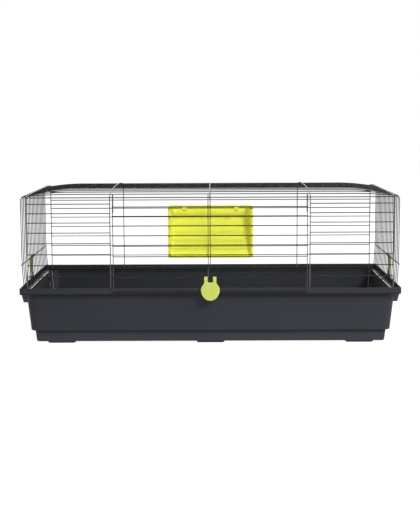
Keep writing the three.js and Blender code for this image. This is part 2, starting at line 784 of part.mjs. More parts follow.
function hayRack() {
  const bin = rackWedge(RACK_FLANGE, RACK_TOP, RACK_MOUTH, 0);
  const hollowInset = RACK_FLANGE + RACK_SKIN;
  const hollow = rackWedge(hollowInset, RACK_TOP + RACK_DEPTH, RACK_MOUTH - 1, RACK_SKIN);
  const solid = bin.subtract(hollow).add(rackFrame()).add(rackHook(-1)).add(rackHook(1));
  return part('hay_rack', toGeometry(solid), limePlastic());
}

// ================= The whole cage =================

const cage = new THREE.Group();
cage.add(tray());
cage.add(wireTop());
cage.add(endPanel('left_end_panel', -1));
cage.add(endPanel('right_end_panel', 1));
cage.add(door());
cage.add(doorHook('door_hook_left', -DOOR_HALF_WIDTH));
cage.add(doorHook('door_hook_centre', DOOR_CENTRE_WIRE_X));
cage.add(doorHook('door_hook_right', DOOR_HALF_WIDTH));
cage.add(frontLatch());
cage.add(endClip('left_clip', -1));
cage.add(endClip('right_clip', 1));
cage.add(hayRack());

// The origin is on the floor, under the middle of the whole cage.
const footprint = new THREE.Box3().setFromObject(cage, true).getCenter(new THREE.Vector3());
cage.position.y = -footprint.y;

export default cage;
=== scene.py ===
"""Looks of an indoor rabbit cage: a moulded tray, a welded wire top, a hinged front door,
three lime snap clips and a lime hay rack.

Lengths are millimetres, and places are measured from the middle of the tray on the floor,
unless a comment says otherwise.
"""

import math

import bmesh
import bpy
from mathutils import Matrix, Vector

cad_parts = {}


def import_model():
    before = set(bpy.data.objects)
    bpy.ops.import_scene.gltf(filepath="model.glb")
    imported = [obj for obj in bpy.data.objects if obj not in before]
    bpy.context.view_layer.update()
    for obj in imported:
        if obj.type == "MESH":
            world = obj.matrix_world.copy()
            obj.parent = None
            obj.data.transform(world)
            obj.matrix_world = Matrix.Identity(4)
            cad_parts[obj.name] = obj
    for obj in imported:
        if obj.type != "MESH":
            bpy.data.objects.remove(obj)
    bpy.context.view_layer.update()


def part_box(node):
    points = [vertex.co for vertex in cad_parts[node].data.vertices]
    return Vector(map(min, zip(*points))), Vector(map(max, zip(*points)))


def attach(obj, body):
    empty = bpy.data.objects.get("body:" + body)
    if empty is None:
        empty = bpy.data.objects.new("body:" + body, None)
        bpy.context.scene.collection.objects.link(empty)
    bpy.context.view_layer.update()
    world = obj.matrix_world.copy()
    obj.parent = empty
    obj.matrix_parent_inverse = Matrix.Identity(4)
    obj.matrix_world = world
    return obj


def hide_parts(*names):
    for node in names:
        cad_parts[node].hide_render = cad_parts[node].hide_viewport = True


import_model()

# ---- The frame's own places ----
MM = 0.001
TRAY_LOW, TRAY_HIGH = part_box("tray")
CENTRE_Y = (TRAY_LOW.y + TRAY_HIGH.y) / 2
RIM_TOP = TRAY_HIGH.z / MM
RIM_HALF_DEPTH = (TRAY_HIGH.y - TRAY_LOW.y) / 2 / MM
CATCH_REACH = 1.5
RIM_HALF_LENGTH = TRAY_HIGH.x / MM - CATCH_REACH

# ---- Tray ----
LEDGE = 163
FLANGE_UNDER = 160
LIP = 3
SKIN = 2.5
RIM_CORNER = 9
CORNER_CENTRE_INSET = 53
WALL_TOP_INSET = 15
WALL_FOOT_INSET = 28
BASE_TOP_INSET = 40
BASE_FOOT_INSET = 44
FLOOR_EDGE_INSET = BASE_FOOT_INSET + 16
CHAMFER = 3
FLOOR = 10
UNDERSIDE = 6
STEP = 42
BEAD_ANGLES = (49, 88)
BEAD_RADIUS = 0.8
BEAD_TOP_DROP = 3
EDGE_RADIUS = 1.5
EDGE_SINK = 0.4
EDGE_BREAK = (-10, 20)
FOOT_SIZE = (87, 38)
FOOT_SPACING = 468
FOOT_OFFSET = 221
FOOT_CORNER = 8
# Height and distance in from the foot's side, up its rounded sole.
FOOT_SOLE = ((0, 2.2), (0.7, 0.8), (1.8, 0.2))
GRIP_BOTTOM = 125
GRIP_HALF_TOP = 260
GRIP_HALF_BOTTOM = 215
GRIP_BACK_INSET = 24
GRIP_CORNER = 6
GRIP_INNER_CORNER = 3
TUCK = 1
CATCH_LENGTH = 50
CATCH_HEIGHT = 3
LUG_PLACES = (-178, 178)
LUG_LENGTH = 26
LUG_REACH = 3.5
LUG_BOTTOM = LEDGE + 6
LUG_FACE_BOTTOM = LEDGE + 7
LUG_FACE_TOP = LEDGE + 10
LUG_TOP = LEDGE + 13
LUG_ROUND = 1.2

# ---- Wires ----
MESH_WIRE = 1.25
MESH_ROD = 1.4
FRAME_WIRE = 1.5
GAP = 0.3
WELD = 0.5
WELD_SPREAD = 1.5
WELD_DEPTH = 0.85
WIRE_SIDES = 12
WIRE_END_SHARE = 0.7
WIRE_END_CHAMFER = 0.3
ARCH_HALF_DEPTH = 280.5
CORNER_BEND = 8
ARCH_SINK = 0.12
ROOF_CROWN = 479
ROOF_DROP = 18.5
ROOF_ROUND_SHARE = 0.25
ROOF_SHOULDER_SHARE = 0.75
ROOF_END_SHARE = 0.85
ROOF_FADE_START = 440
POST_OFFSET = 565
WIRE_FOOT = LEDGE + GAP
END_COUNT = 19
END_PITCH = 29.1
END_FOOT_X = 579.5
END_BOW_X = 583.5
END_TOP_X = 568.5
END_TOP = 464
END_BEND = 17
END_CURVE_TOP = 310
END_BOW_PULL = 240
END_CURVE_FOOT = 190
CROSS_WIRE_REACH = 10
CROSS_HEIGHT = 250
DOOR_FRONT = 295
DOOR_HALF_WIDTH = 298
DOOR_CENTRE_X = -6
DOOR_HEIGHTS = (169, 213, 247, 279, 311.5, 343.5, 374, 403.5, 432)
HOOK_RETURN = 48
HINGE_HEIGHT = 460

# ---- Clips ----
CLIP_HALF = 29
SLOT_HALF = 8.25
PRONG = 10.5
CLIP_THICKNESS = 5
CLIP_EYE = 3.6
CLIP_BODY = 56
CLIP_WIDEST = 33
CLIP_TAIL = 17
CLIP_FLARE = 3
CLIP_FLARE_DROP = 4
CLIP_CORNER = 4
CLIP_NECK_FLARE = 2
CLIP_NECK_PULL = 10
CLIP_CHEEK_PULL = 12
CLIP_CHIN_PULL = 18
CLIP_CHIN_HALF = 16
CLIP_CLEARANCE = 0.35
# How far below the pivot the plate's prongs start and the head's strap ends, and how far
# below the eye that strap's back starts.
CLIP_PLATE_DROP = 6
CLIP_HEAD_DROP = 12
STRAP_DROP = 3
# Steps in from the plate's rim, and how far the face rises at each of them.
CLIP_DOME = ((0.35, 0.6), (0.5, 0.35), (0.9, 0.25), (2.6, 0.2))
CLIP_BACK_ROUND = ((0.3, 0.4), (0.5, 0.2))
EYE_MOUTH = -0.28 * math.pi
EYE_CROWN = 0.75 * math.pi
EYE_THROAT = -0.55 * math.pi
NIB_HALF = 22
NIB_CLEARANCE = 0.6
NIB_TIP = 2
NIB_HEIGHT = 7
LATCH_STRAP = 1.7
LATCH_NIB_REACH = 3.2
END_CLIP_STANDOFF = 0.5
END_CLIP_NIB_GAP = 0.4


# ================= Mesh helpers =================


def at(x, y, z):
    """A point in millimetres from the tray's centre on the floor, in the frame's metres."""
    return Vector((x * MM, CENTRE_Y + y * MM, z * MM))


def piece(name, bm, body, material, nodes=(), sharp=35):
    """Turns a finished mesh into a shown piece that rides on a body."""
    bmesh.ops.recalc_face_normals(bm, faces=bm.faces)
    mesh = bpy.data.meshes.new(name)
    bm.to_mesh(mesh)
    bm.free()
    mesh.shade_smooth()
    mesh.set_sharp_from_angle(angle=math.radians(sharp))
    mesh.materials.append(material)
    obj = bpy.data.objects.new(name, mesh)
    bpy.context.scene.collection.objects.link(obj)
    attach(obj, body)
    if nodes:
        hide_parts(*nodes)
    return obj


def even_normals(obj):
    """Keeps large flat faces flat beside their rounded edges."""
    modifier = obj.modifiers.new("even_normals", "WEIGHTED_NORMAL")
    modifier.keep_sharp = True


def bezier(start, control, end, steps):
    """Points along a curve with one control point."""
    points = []
    for i in range(steps + 1):
        t = i / steps
        points.append((1 - t) ** 2 * start + 2 * t * (1 - t) * control + t * t * end)
    return points


def cubic(a, b, c, d, steps):
    """Points along a curve with two control points."""
    points = []
    for i in range(steps + 1):
        t = i / steps
        u = 1 - t
        points.append(u**3 * a + 3 * u * u * t * b + 3 * u * t * t * c + t**3 * d)
    return points


def rounded(corners, steps=5, closed=False):
    """A 2-D line through (x, y, radius) corners, each turned into an arc of that radius."""
    count = len(corners)
    points = []
    for i, (x, y, radius) in enumerate(corners):
        here = Vector((x, y))
        if radius == 0 or (not closed and i in (0, count - 1)):
            points.append(here)
            continue
        before = Vector(corners[i - 1][:2]) - here
        after = Vector(corners[(i + 1) % count][:2]) - here
        half = before.angle(after) / 2
        reach = min(radius / math.tan(half), 0.48 * before.length, 0.48 * after.length)
        radius = reach * math.tan(half)
        middle = (before.normalized() + after.normalized()).normalized()
        centre = here + middle * radius / math.sin(half)
        u = here + before.normalized() * reach - centre
        v = here + after.normalized() * reach - centre
        turn = u.angle(v)
        for k in range(steps + 1):
            t = k / steps
            arc = math.sin((1 - t) * turn) * u + math.sin(t * turn) * v
            points.append(centre + arc / math.sin(turn))
    return points


def bridge(bm, loops, close_ends=True, cyclic=True):
    """Quads between matching loops of points, with the first and last loops closed."""
    rings = [[bm.verts.new(p) for p in loop] for loop in loops]
    count = len(rings[0])
    last = count if cyclic else count - 1
    for lower, upper in zip(rings, rings[1:]):
        for i in range(last):
            j = (i + 1) % count
            bm.faces.new((lower[i], lower[j], upper[j], upper[i]))
    if close_ends:
        bm.faces.new(rings[0][::-1])
        bm.faces.new(rings[-1])
    return rings


def add_tube(bm, points, radius):
    """A round wire along points, with its cut ends slightly chamfered."""
    count = len(points)
    loops = []
    tangents = []
    for i in range(count):
        tangents.append((points[min(i + 1, count - 1)] - points[max(i - 1, 0)]).normalized())
    side = tangents[0].orthogonal().normalized()
    size = radius * MM

    def ring(centre, tangent, scale):
        other = tangent.cross(side)
        loop = []
        for k in range(WIRE_SIDES):
            angle = 2 * math.pi * k / WIRE_SIDES
            offset = math.cos(angle) * side + math.sin(angle) * other
            loop.append(centre + offset * size * scale)
        return loop

    loops.append(ring(points[0], tangents[0], WIRE_END_SHARE))
    for i, (point, tangent) in enumerate(zip(points, tangents)):
        side = (side - side.dot(tangent) * tangent).normalized()
        inward = 0
        if i == 0:
            inward = WIRE_END_CHAMFER * size
        if i == count - 1:
            inward = -WIRE_END_CHAMFER * size
        loops.append(ring(point + tangent * inward, tangent, 1))
    loops.append(ring(points[-1], tangents[-1], WIRE_END_SHARE))
    bridge(bm, loops)


def add_weld(bm, place, along, across, size):
    """A flattened bead of weld metal where two wires cross."""
    third = along.cross(across).normalized()
    turn = Matrix((along.normalized(), across.normalized(), third)).transposed().to_4x4()
    spread = size * WELD_SPREAD * MM
    shape = Matrix.Diagonal((spread, spread, size * WELD_DEPTH * MM, 1))
    bmesh.ops.create_uvsphere(
        bm,
        u_segments=8,
        v_segments=5,
        radius=1,
        matrix=Matrix.Translation(place) @ turn @ shape,
    )


def straight(start, end, steps=1):
    """Points along a line."""
    return [start.lerp(end, i / steps) for i in range(steps + 1)]


X_AXIS = Vector((1, 0, 0))
Y_AXIS = Vector((0, 1, 0))
Z_AXIS = Vector((0, 0, 1))


# ================= Materials =================

CLIP_LIME = (0.58, 0.64, 0.125, 1)
CLIP_DEEP = (0.53, 0.60, 0.10, 1)
# The end clips are the same lime, painted darker and greyer as shade, for they sit outside the end
# panels behind the wires.
END_SHADED_LIME = (0.36, 0.39, 0.15, 1)
END_SHADED_DEEP = (0.31, 0.34, 0.12, 1)
RACK_LIME = (0.90, 0.92, 0.075, 1)
RACK_DEEP = (0.86, 0.89, 0.06, 1)

# Heights up the tray and a factor on the plastic's colour there: painted shade, darkest under the
# rim and the step, and painted floor light, lighter towards the bottom.
TRAY_PAINTED_SHADING = (
    (0, 1.5),
    (36, 1.4),
    (39, 0.6),
    (43, 0.6),
    (45, 1.12),
    (142, 1.0),
    (152, 0.95),
    (156, 0.45),
    (163, 0.4),
    (165, 1.0),
)


class Shader:
    """A node material with a principled shader, and short calls to wire its nodes."""

    def __init__(self, name):
        self.material = bpy.data.materials.new(name)
        self.material.use_nodes = True
        self.tree = self.material.node_tree
        self.main = self.tree.nodes["Principled BSDF"]
        self.place = self.tree.nodes.new("ShaderNodeTexCoord").outputs["Object"]

    def set(self, **values):
        for name, value in values.items():
            self.main.inputs[name.replace("_", " ")].default_value = value

    def link(self, source, target):
        self.tree.links.new(source, target)

    def noise(self, scale, detail=4, roughness=0.55, stretch=None):
        node = self.tree.nodes.new("ShaderNodeTexNoise")
        node.inputs["Scale"].default_value = scale
        node.inputs["Detail"].default_value = detail
        node.inputs["Roughness"].default_value = roughness
        place = self.place
        if stretch:
            mapping = self.tree.nodes.new("ShaderNodeMapping")
            mapping.inputs["Scale"].default_value = stretch
            self.link(self.place, mapping.inputs["Vector"])
            place = mapping.outputs["Vector"]
        self.link(place, node.inputs["Vector"])
        return node.outputs["Fac"]

    def ramp(self, source, stops):
        """Colours or greys by position: stops are (position, colour)."""
        node = self.tree.nodes.new("ShaderNodeValToRGB")
        elements = node.color_ramp.elements
        while len(elements) < len(stops):
            elements.new(0.5)
        for element, (position, colour) in zip(elements, stops):
            element.position = position
            element.color = colour
        self.link(source, node.inputs["Fac"])
        return node.outputs["Color"]

    def span(self, source, low, high, from_low=0.3, from_high=0.7):
        node = self.tree.nodes.new("ShaderNodeMapRange")
        node.inputs["From Min"].default_value = from_low
        node.inputs["From Max"].default_value = from_high
        node.inputs["To Min"].default_value = low
        node.inputs["To Max"].default_value = high
        self.link(source, node.inputs["Value"])
        return node.outputs["Result"]

    def mix(self, share, first, second):
        node = self.tree.nodes.new("ShaderNodeMix")
        node.data_type = "RGBA"
        self.link(share, node.inputs["Factor"])
        colours = [s for s in node.inputs if s.type == "RGBA"]
        for socket, value in zip(colours, (first, second)):
            if isinstance(value, bpy.types.NodeSocket):
                self.link(value, socket)
            else:
                socket.default_value = value
        return [s for s in node.outputs if s.type == "RGBA"][0]

    def height(self):
        """Height above the floor, in metres."""
        node = self.tree.nodes.new("ShaderNodeSeparateXYZ")
        self.link(self.place, node.inputs["Vector"])
        return node.outputs["Z"]

    def multiply(self, first, second):
        node = self.tree.nodes.new("ShaderNodeVectorMath")
        node.operation = "MULTIPLY"
        self.link(first, node.inputs[0])
        self.link(second, node.inputs[1])
        return node.outputs["Vector"]

    def bump(self, source, distance, strength=1.0, over=None):
        node = self.tree.nodes.new("ShaderNodeBump")
        node.inputs["Distance"].default_value = distance
        node.inputs["Strength"].default_value = strength
        self.link(source, node.inputs["Height"])
        if over:
            self.link(over, node.inputs["Normal"])
        return node.outputs["Normal"]

    def finish(self, colour=None, roughness=None, normal=None):
        if colour:
            self.link(colour, self.main.inputs["Base Color"])
        if roughness:
            self.link(roughness, self.main.inputs["Roughness"])
        if normal:
            self.link(normal, self.main.inputs["Normal"])
        return self.material


def grey(value, tint=(1, 1, 1)):
    """A grey of one value, or a tinted one."""
    return (value * tint[0], value * tint[1], value * tint[2], 1)


def tray_plastic():
    """Charcoal polypropylene with a fine moulded grain, faint flow clouds and dry scuffs, and
    painted shading by height.
    """
    shader = Shader("charcoal_plastic")
    shader.set(Metallic=0.0, IOR=1.49, Specular_IOR_Level=0.27)
    cool = (0.9, 0.95, 1.22)
    clouds = shader.ramp(
        shader.noise(5, detail=3),
        [(0.3, grey(0.024, cool)), (0.7, grey(0.029, cool))],
    )
    scuffs = shader.noise(26, detail=8, roughness=0.75, stretch=(0.6, 0.6, 2.4))
    scuff_share = shader.span(scuffs, 0.0, 0.35, 0.6, 0.8)
    scuffed = shader.mix(scuff_share, clouds, grey(0.045, cool))
    # Painted shading: the colour is darkened under the rim and the step as shade, and lightened
    # near the bottom as light from the floor.
    painted_shading = shader.ramp(
        shader.span(shader.height(), 0, 1, 0, RIM_TOP * MM),
        [(z / RIM_TOP, grey(share)) for z, share in TRAY_PAINTED_SHADING],
    )
    colour = shader.multiply(scuffed, painted_shading)
    roughness = shader.span(shader.noise(40, detail=5), 0.38, 0.52)
    grain = shader.bump(shader.noise(2600, detail=2), 0.00006, 0.5)
    wave = shader.bump(shader.noise(14, detail=2), 0.0006, 0.35, over=grain)
    return shader.finish(colour, roughness, wave)


def painted_highlight_plastic():
    """The tray's plastic made pale and glossy on its slim beads: a painted highlight along the
    ledge edges and down the inside corners.
    """
    shader = Shader("painted_highlight_plastic")
    shader.set(Metallic=0.5, IOR=1.49)
    colour = shader.ramp(
        shader.noise(60, detail=4),
        [(0.3, grey(0.5)), (0.6, grey(0.9))],
    )
    roughness = shader.span(shader.noise(120, detail=3), 0.12, 0.25)
    grain = shader.bump(shader.noise(1800, detail=2), 0.00003, 0.3)
    return shader.finish(colour, roughness, grain)


def wire_steel(name, dark, light, metallic, specular):
    """Drawn steel wire with a satin coating, between two greys."""
    shader = Shader(name)
    shader.set(Metallic=metallic, Specular_IOR_Level=specular)
    colour = shader.ramp(
        shader.noise(90, detail=5),
        [(0.3, grey(dark)), (0.7, grey(light, (1, 1, 1.05)))],
    )
    roughness = shader.span(shader.noise(260, detail=4), 0.36, 0.5)
    draw_marks = shader.bump(shader.noise(1500, detail=3), 0.00003, 0.4)
    return shader.finish(colour, roughness, draw_marks)


def lime_plastic(name, base, deep, roughness_range, glow=0.0):
    """Lime moulded plastic with faint clouds and a light satin grain. Its glow is painted light:
    an emission of its own colour, standing in for light that comes through a thin wall.
    """
    shader = Shader(name)
    shader.set(Metallic=0.0, IOR=1.49, Subsurface_Weight=0.25, Subsurface_Scale=0.004)
    shader.main.inputs["Emission Color"].default_value = base
    shader.main.inputs["Emission Strength"].default_value = glow
    shader.main.inputs["Subsurface Radius"].default_value = (1.0, 1.0, 0.15)
    colour = shader.ramp(shader.noise(24, detail=3), [(0.3, deep), (0.7, base)])
    roughness = shader.span(shader.noise(70, detail=4), *roughness_range)
    grain = shader.bump(shader.noise(1900, detail=2), 0.00005, 0.4)
    wave = shader.bump(shader.noise(45, detail=2), 0.0003, 0.3, over=grain)
    return shader.finish(colour, roughness, wave)


# ================= Tray =================


def plan_corner(inset):
    """The rim's corners are tight, and the walls' corners all turn about the same upright axes."""
    if inset < RIM_CORNER:
        return RIM_CORNER - min(inset, LIP)
    return max(CORNER_CENTRE_INSET - inset, 2)


def tray_ring(inset, z):
    """Points round the tray at one height, that far in from the rim's outer face."""
    half_x = RIM_HALF_LENGTH - inset
    half_y = RIM_HALF_DEPTH - inset
    radius = plan_corner(inset)
    arc_steps = 10
    side_steps = (14, 28, 14, 28)
    points = []
    for quarter, steps in enumerate(side_steps):
        angle = quarter * math.pi / 2
        turn = Matrix.Rotation(angle, 2)
        across, along = (half_x, half_y) if quarter % 2 == 0 else (half_y, half_x)
        for i in range(steps):
            share = i / steps
            y = (-1 + 2 * share) * (along - radius)
            points.append(turn @ Vector((across, y)))
        for i in range(arc_steps):
            theta = math.pi / 2 * i / arc_steps
            x = across - radius + radius * math.cos(theta)
            y = along - radius + radius * math.sin(theta)
            points.append(turn @ Vector((x, y)))
    return [at(p.x, p.y, z) for p in points]


def tray_shell(material):
    """The tray's skin, as one closed profile that runs up the outside and down the inside."""
    profile = rounded(
        [
            (FLOOR_EDGE_INSET, UNDERSIDE, 0),
            (BASE_FOOT_INSET + CHAMFER, UNDERSIDE, 1.5),
            (BASE_FOOT_INSET, UNDERSIDE + CHAMFER, 2),
            (BASE_TOP_INSET, STEP, 1.5),
            (WALL_FOOT_INSET, STEP + 1, 1.8),
            (WALL_TOP_INSET, FLANGE_UNDER, 1.5),
            (0, FLANGE_UNDER, 1),
            (0, RIM_TOP, 1.3),
            (LIP, RIM_TOP, 1.3),
            (LIP, LEDGE, 1.6),
            (WALL_TOP_INSET + SKIN, LEDGE, 3),
            (WALL_FOOT_INSET + SKIN, STEP + 1 + SKIN, 4),
            (BASE_TOP_INSET + SKIN, STEP + SKIN, 2.5),
            (BASE_FOOT_INSET + SKIN, FLOOR, 5),
            (FLOOR_EDGE_INSET, FLOOR, 0),
        ]
    )
    bm = bmesh.new()
    bridge(bm, [tray_ring(p.x, p.y) for p in profile])
    obj = piece("tray_shell", bm, "cage", material, ("tray",))
    even_normals(obj)


def corner_beads(material):
    """Two slim moulded beads down each of the tray's inside corners."""
    # The beads' pale plastic is a painted highlight down each inside corner.
    bm = bmesh.new()
    ends = (
        (WALL_TOP_INSET + SKIN, LEDGE - BEAD_TOP_DROP),
        (WALL_FOOT_INSET + SKIN, STEP + SKIN),
    )
    for side_x in (-1, 1):
        for side_y in (-1, 1):
            for degrees in BEAD_ANGLES:
                angle = math.radians(degrees)
                path = []
                for inset, z in ends:
                    radius = CORNER_CENTRE_INSET - inset
                    x = RIM_HALF_LENGTH - CORNER_CENTRE_INSET + radius * math.sin(angle)
                    y = RIM_HALF_DEPTH - CORNER_CENTRE_INSET + radius * math.cos(angle)
                    path.append(at(side_x * x, side_y * y, z))
                add_tube(bm, straight(path[0], path[1], 6), BEAD_RADIUS)
    piece("corner_beads", bm, "cage", material)


def ledge_edges(material):
    """A slim moulded bead on the ledge's inner edge at each end, with a short break in it."""
    # The bead's pale plastic is a painted highlight along the ledge's inner edge.
    bm = bmesh.new()
    x = RIM_HALF_LENGTH - WALL_TOP_INSET - SKIN
    reach = RIM_HALF_DEPTH - CORNER_CENTRE_INSET
    z = LEDGE - EDGE_SINK
    break_start, break_end = EDGE_BREAK
    for side in (-1, 1):
        for start, end in ((-reach, break_start), (break_end, reach)):
            path = straight(at(side * x, start, z), at(side * x, end, z), 8)
            add_tube(bm, path, EDGE_RADIUS)
    piece("ledge_edge_beads", bm, "cage", material)


def grip_ring(side, grow, z):
    """Plan of one end grip at a height: a skirt with two short returns to the tray's wall."""
    share = (z - GRIP_BOTTOM) / (FLANGE_UNDER - GRIP_BOTTOM)
    half = GRIP_HALF_BOTTOM + (GRIP_HALF_TOP - GRIP_HALF_BOTTOM) * share
    outer_x = RIM_HALF_LENGTH - grow
    inner_x = RIM_HALF_LENGTH - LIP + grow
    back_x = RIM_HALF_LENGTH - GRIP_BACK_INSET
    outer = half - grow
    inner = half - LIP + grow
    outline = rounded(
        [
            (back_x, -outer, 0),
            (outer_x, -outer, GRIP_CORNER),
            (outer_x, outer, GRIP_CORNER),
            (back_x, outer, 0),
            (back_x, inner, 0),
            (inner_x, inner, GRIP_INNER_CORNER),
            (inner_x, -inner, GRIP_INNER_CORNER),
            (back_x, -inner, 0),
        ],
        closed=True,
    )
    return [at(side * p.x, side * p.y, z) for p in outline]


def catch_rib(side):
    """Loops of the small rib on a grip that an end clip catches under."""
    rib_x = RIM_HALF_LENGTH + CATCH_REACH
    under = FLANGE_UNDER - CATCH_HEIGHT
    section = rounded(
        [
            (RIM_HALF_LENGTH - TUCK, FLANGE_UNDER, 0),
            (rib_x, FLANGE_UNDER, 0.7),
            (rib_x, under, 0.7),
            (RIM_HALF_LENGTH - TUCK, under, 0),
        ]
    )
    half = CATCH_LENGTH / 2
    loops = []
    for y, inset in ((-half, 0.6), (-half + 1, 0), (half - 1, 0), (half, 0.6)):
        loops.append([at(side * (p.x - inset), y, p.y) for p in section])
    return loops


def grips(material):
    """A skirt at each end, with a rounded lower edge and the rib for its clip."""
    edge = ((0, 1.0), (0.3, 0.3), (1, 0))
    for name, side in (("left_grip", -1), ("right_grip", 1)):
        bm = bmesh.new()
        loops = [grip_ring(side, grow, GRIP_BOTTOM + rise) for rise, grow in edge]
        loops.append(grip_ring(side, 0, FLANGE_UNDER + TUCK))
        bridge(bm, loops)
        bridge(bm, catch_rib(side))
        piece(name, bm, "cage", material)


def foot_ring(x, y, z, inset):
    """A foot's outline at one height."""
    half_x = FOOT_SIZE[0] / 2 - inset
    half_y = FOOT_SIZE[1] / 2 - inset
    outline = rounded(
        [
            (half_x, -half_y, FOOT_CORNER),
            (half_x, half_y, FOOT_CORNER),
            (-half_x, half_y, FOOT_CORNER),
            (-half_x, -half_y, FOOT_CORNER),
        ],
        closed=True,
    )
    return [at(x + p.x, y + p.y, z) for p in outline]


def feet(material):
    """Three low pads along the front and three along the back, with rounded soles."""
    bm = bmesh.new()
    levels = (*FOOT_SOLE, (UNDERSIDE + TUCK, 0))
    for column in (-1, 0, 1):
        for row in (-1, 1):
            x = column * FOOT_SPACING
            y = row * FOOT_OFFSET
            bridge(bm, [foot_ring(x, y, z, inset) for z, inset in levels])
    piece("tray_feet", bm, "cage", material)


def back_lugs(material):
    """Two small lugs inside the back lip, which hold the wire top's foot down."""
    bm = bmesh.new()
    inner = RIM_HALF_DEPTH - LIP
    for x in LUG_PLACES:
        section = rounded(
            [
                (inner + TUCK, LUG_TOP, 0),
                (inner - LUG_REACH, LUG_FACE_TOP, LUG_ROUND),
                (inner - LUG_REACH, LUG_FACE_BOTTOM, LUG_ROUND),
                (inner + TUCK, LUG_BOTTOM, 0),
            ]
        )
        half = LUG_LENGTH / 2
        loops = []
        for end, inset in ((-half, 1), (-half + 1.5, 0), (half - 1.5, 0), (half, 1)):
            loops.append([at(x + end, p.x + inset, p.y) for p in section])
        bridge(bm, loops)
    piece("back_lugs", bm, "cage", material)


# ================= Wire top =================


def roof_height(x, y):
    """Height of the roof's long wires: crowned across the cage, and nearly flat at its ends."""
    across = abs(y) / ARCH_HALF_DEPTH
    fall = ROOF_ROUND_SHARE * across**2 + ROOF_SHOULDER_SHARE * across**4
    along = max(0, abs(x) - ROOF_FADE_START) / (POST_OFFSET - ROOF_FADE_START)
    rise = ROOF_DROP * (1 - fall) * (1 - ROOF_END_SHARE * along**2)
    return ROOF_CROWN - ROOF_DROP + rise


def arch_height(x, y):
    """Height of an arch's centre line, which sits on the roof wires."""
    return roof_height(x, y) + MESH_WIRE + GAP + FRAME_WIRE - ARCH_SINK


def arch_corner(x, side):
    """One bend of an arch, from its leg to its roof."""
    y = side * ARCH_HALF_DEPTH
    inner = y - side * CORNER_BEND
    top = arch_height(x, y)
    start = at(x, y, top - CORNER_BEND)
    return bezier(start, at(x, y, top), at(x, inner, arch_height(x, inner)), 8)


def arch_path(x, front_leg):
    """An arch's line: up its front leg if it has one, over the roof and down its back leg."""
    roof_steps = 48
    leg_steps = 3
    reach = ARCH_HALF_DEPTH - CORNER_BEND - 1
    front = arch_corner(x, -1)
    back = arch_corner(x, 1)
    points = []
    if front_leg:
        points += straight(at(x, -ARCH_HALF_DEPTH, WIRE_FOOT), front[0], leg_steps)[:-1]
    points += front
    for i in range(roof_steps + 1):
        y = -reach + 2 * reach * i / roof_steps
        points.append(at(x, y, arch_height(x, y)))
    points += back[::-1]
    points += straight(back[0], at(x, ARCH_HALF_DEPTH, WIRE_FOOT), leg_steps)[1:]
    return points


def middle(node):
    """The middle of a CAD node's box."""
    low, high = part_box(node)
    centre = (low + high) / 2
    return centre.x / MM, (centre.y - CENTRE_Y) / MM, centre.z / MM


def span_x(node):
    """Where a CAD node starts and ends along the cage."""
    low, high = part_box(node)
    return low.x / MM, high.x / MM


def steel_piece(name, wires, body, material, nodes):
    """One piece made of round wires, each given as a path and a radius."""
    bm = bmesh.new()
    for points, radius in wires:
        add_tube(bm, points, radius)
    return piece(name, bm, body, material, nodes)


ARCHES = ("left_end_arch", "left_arch", "centre_arch", "right_arch", "right_end_arch")


def arches(material):
    """The five bent wires that carry the cage."""
    for node in ARCHES:
        x = middle(node)[0]
        path = arch_path(x, node != "centre_arch")
        steel_piece(f"{node}_rod", [(path, FRAME_WIRE)], "cage", material, (node,))


def roof_wire_path(y):
    """A roof wire's line, with points only where it curves down to the ends."""
    reach = POST_OFFSET + 1
    fade_steps = 10
    fade = []
    for i in range(fade_steps + 1):
        fade.append(reach - (reach - ROOF_FADE_START) * i / fade_steps)
    places = [-x for x in fade] + fade[::-1]
    return [at(x, y, roof_height(x, y)) for x in places]


def numbered(start, count, digits=1):
    """Names of nodes that are numbered from 1."""
    return [f"{start}{i + 1:0{digits}d}" for i in range(count)]


ROOF_WIRES = numbered("roof_wire_", 15, 2)
BACK_WIRES = numbered("back_wire_", 8)
FRONT_WIRES = numbered("front_left_wire_", 8) + numbered("front_right_wire_", 8)
LONG_WIRES = ("hinge_wire", "back_top_wire", "front_foot_wire", "back_foot_wire")


def long_wires(material):
    """The wires that run along the cage."""
    for node in ROOF_WIRES:
        path = roof_wire_path(middle(node)[1])
        steel_piece(f"{node}_rod", [(path, MESH_ROD)], "cage", material, (node,))
    for node in [*BACK_WIRES, *FRONT_WIRES, *LONG_WIRES]:
        _, y, z = middle(node)
        low, high = span_x(node)
        radius = FRAME_WIRE if node in LONG_WIRES else MESH_ROD
        path = straight(at(low, y, z), at(high, y, z), 4)
        steel_piece(f"{node}_rod", [(path, radius)], "cage", material, (node,))


def cage_welds(material):
    """Beads where the arches cross the long wires."""
    bm = bmesh.new()
    touch = FRAME_WIRE + GAP / 2
    for arch in ARCHES:
        x = middle(arch)[0]
        for node in ROOF_WIRES:
            y = middle(node)[1]
            z = roof_height(x, y) + MESH_WIRE + GAP / 2
            add_weld(bm, at(x, y, z), X_AXIS, Y_AXIS, MESH_WIRE)
        for node in BACK_WIRES:
            z = middle(node)[2]
            add_weld(bm, at(x, ARCH_HALF_DEPTH - touch, z), X_AXIS, Z_AXIS, MESH_WIRE)
        for side, node in ((1, "back_top_wire"), (-1, "back_foot_wire")):
            place = at(x, ARCH_HALF_DEPTH + side * touch, middle(node)[2])
            add_weld(bm, place, X_AXIS, Z_AXIS, FRAME_WIRE)
        add_weld(bm, at(x, -ARCH_HALF_DEPTH - touch, HINGE_HEIGHT), X_AXIS, Z_AXIS, FRAME_WIRE)
        if arch == "centre_arch":
            continue
        z = middle("front_foot_wire")[2]
        add_weld(bm, at(x, -ARCH_HALF_DEPTH + touch, z), X_AXIS, Z_AXIS, FRAME_WIRE)
        for node in BACK_WIRES:
            z = middle(node)[2]
            add_weld(bm, at(x, -ARCH_HALF_DEPTH + touch, z), X_AXIS, Z_AXIS, MESH_WIRE)
    piece("wire_top_welds", bm, "cage", material)


